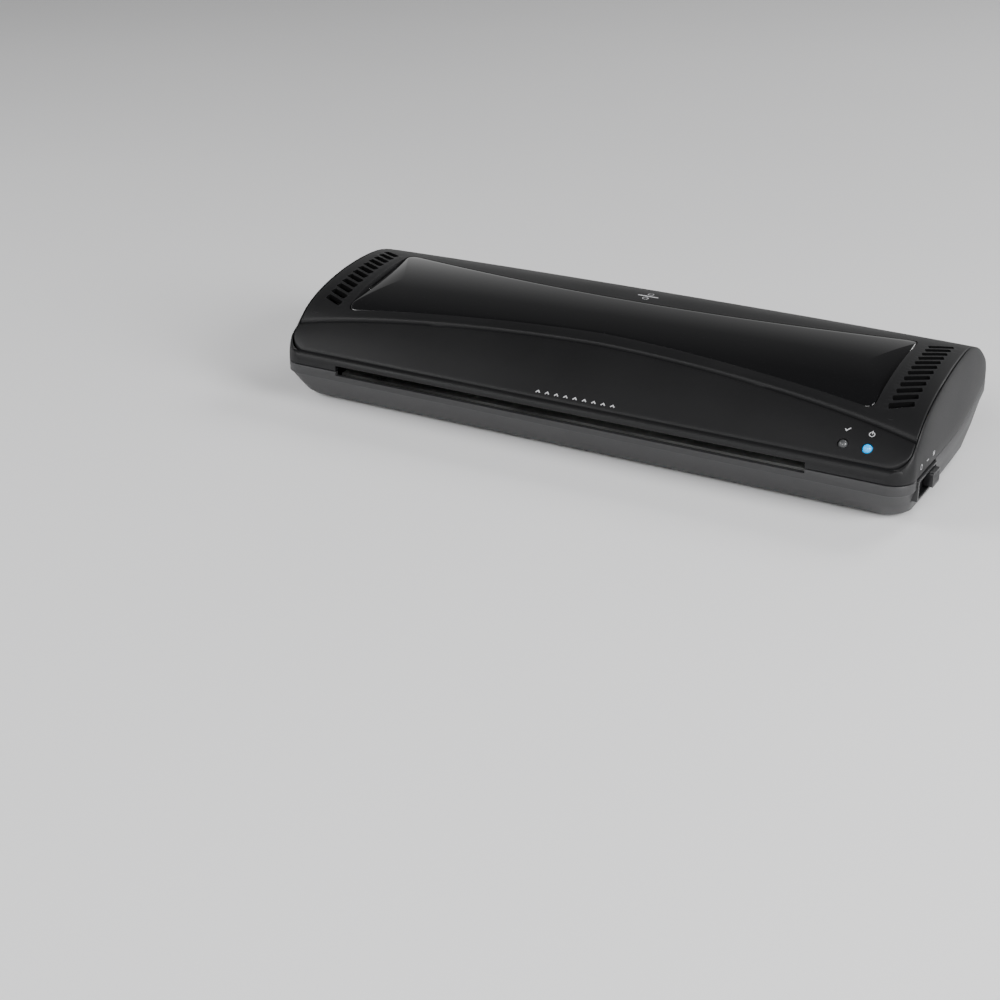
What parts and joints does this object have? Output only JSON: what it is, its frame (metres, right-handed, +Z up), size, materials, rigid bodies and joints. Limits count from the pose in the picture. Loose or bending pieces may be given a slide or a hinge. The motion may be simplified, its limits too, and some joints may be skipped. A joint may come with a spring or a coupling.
{
  "type": "pouch laminator",
  "caption": "Desktop pouch laminator: domed matte black shell with gloss inlay, vent slots, wide feed slot, slide switch and indicator lights, driven heated rollers inside.",
  "frame": {"origin": "on the table under the middle of the laminator", "axes": "+X along the length towards the switch end, +Y towards the exit side, +Z up"},
  "size_m": [0.3104, 0.124, 0.0556],
  "materials": {
    "housing_plastic": "fine matte texture",
    "base_plastic": "fine matte texture",
    "gloss_black": "polished",
    "switch_black": "satin",
    "lens_grey": "frosted lens",
    "lens_cyan": "lit lens",
    "foot_rubber": "matte",
    "silicone": "matte silicone",
    "steel": "turned",
    "zinc_sheet": "zinc plated",
    "aluminium": "extruded",
    "gear_nylon": "moulded nylon",
    "bearing_bronze": "sintered",
    "heater_mica": "laminate",
    "board_green": "solder mask",
    "component_blue": "dipped",
    "component_yellow": "tape"
  },
  "bodies": {
    "housing": {"base_housing": "base_plastic", "cable_gland": "switch_black", "control_board": "board_green", "entry_guide_lower": "zinc_sheet", "entry_guide_upper": "zinc_sheet", "exit_guide_lower": "zinc_sheet", "exit_guide_upper": "zinc_sheet", "film_capacitor": "component_blue", "foot_1": "foot_rubber", "foot_2": "foot_rubber", "foot_3": "foot_rubber", "foot_4": "foot_rubber", "frame_screw_1": "steel", "frame_screw_2": "steel", "frame_screw_3": "steel", "frame_screw_4": "steel", "front_panel": "housing_plastic", "gear_motor": "zinc_sheet", "gloss_inlay": "gloss_black", "heater_shoe_lower": "aluminium", "heater_shoe_upper": "aluminium", "heating_element_lower": "heater_mica", "heating_element_upper": "heater_mica", "housing_screw_1": "steel", "housing_screw_2": "steel", "housing_screw_3": "steel", "housing_screw_4": "steel", "idler_pin": "steel", "led_board": "board_green", "led_power": "lens_cyan", "led_ready": "lens_grey", "lower_bearing_left": "bearing_bronze", "lower_bearing_right": "bearing_bronze", "mains_transformer": "component_yellow", "motor_screw_1": "steel", "motor_screw_2": "steel", "motor_standoff_1": "bearing_bronze", "motor_standoff_2": "bearing_bronze", "pressure_spring_left": "steel", "pressure_spring_right": "steel", "side_frame_left": "zinc_sheet", "side_frame_right": "zinc_sheet", "switch_bezel": "switch_black", "thermal_fuse": "component_blue", "thermostat": "component_yellow", "top_cover": "housing_plastic", "upper_housing": "housing_plastic"},
    "switch": {"switch_knob": "switch_black"},
    "lower_roller": {"lower_roller_shaft": "steel", "lower_roller_sleeve": "silicone", "lower_roller_gear": "gear_nylon", "lower_retaining_ring": "steel"},
    "upper_carriage": {"upper_bearing_left": "gear_nylon", "upper_bearing_right": "gear_nylon"},
    "upper_roller": {"upper_roller_shaft": "steel", "upper_roller_sleeve": "silicone", "upper_roller_gear": "gear_nylon", "upper_retaining_ring": "steel"},
    "idler": {"idler_gear": "gear_nylon"},
    "pinion": {"motor_pinion": "gear_nylon"}
  },
  "joints": [
    {"name": "switch_slide", "type": "slide", "parent": "housing", "child": "switch", "axis": [0, -1, 0], "range_m": [0, 0.011]},
    {"name": "lower_roller_spin", "type": "hinge", "parent": "housing", "child": "lower_roller", "pos_m": [-0.00135, 0.003, 0.01385], "axis": [1, 0, 0], "continuous": true},
    {"name": "carriage_lift", "type": "slide", "parent": "housing", "child": "upper_carriage", "axis": [0, 0, 1], "range_m": [0, 0.0008], "stiffness_N_per_m": 800, "springref_m": -0.004, "deforming": ["pressure_spring_left", "pressure_spring_right"]},
    {"name": "upper_roller_spin", "type": "hinge", "parent": "upper_carriage", "child": "upper_roller", "pos_m": [-0.00135, 0.003, 0.02815], "axis": [1, 0, 0], "continuous": true},
    {"name": "idler_spin", "type": "hinge", "parent": "housing", "child": "idler", "pos_m": [-0.00135, -0.01299, 0.0156], "axis": [1, 0, 0], "continuous": true},
    {"name": "pinion_spin", "type": "hinge", "parent": "housing", "child": "pinion", "pos_m": [-0.00135, -0.02014, 0.02798], "axis": [1, 0, 0], "continuous": true}
  ],
  "couplings": [
    {"joint": "upper_roller_spin", "follows": "lower_roller_spin", "ratio": -1},
    {"joint": "idler_spin", "follows": "lower_roller_spin", "ratio": -0.8},
    {"joint": "pinion_spin", "follows": "lower_roller_spin", "ratio": 1.3333}
  ]
}
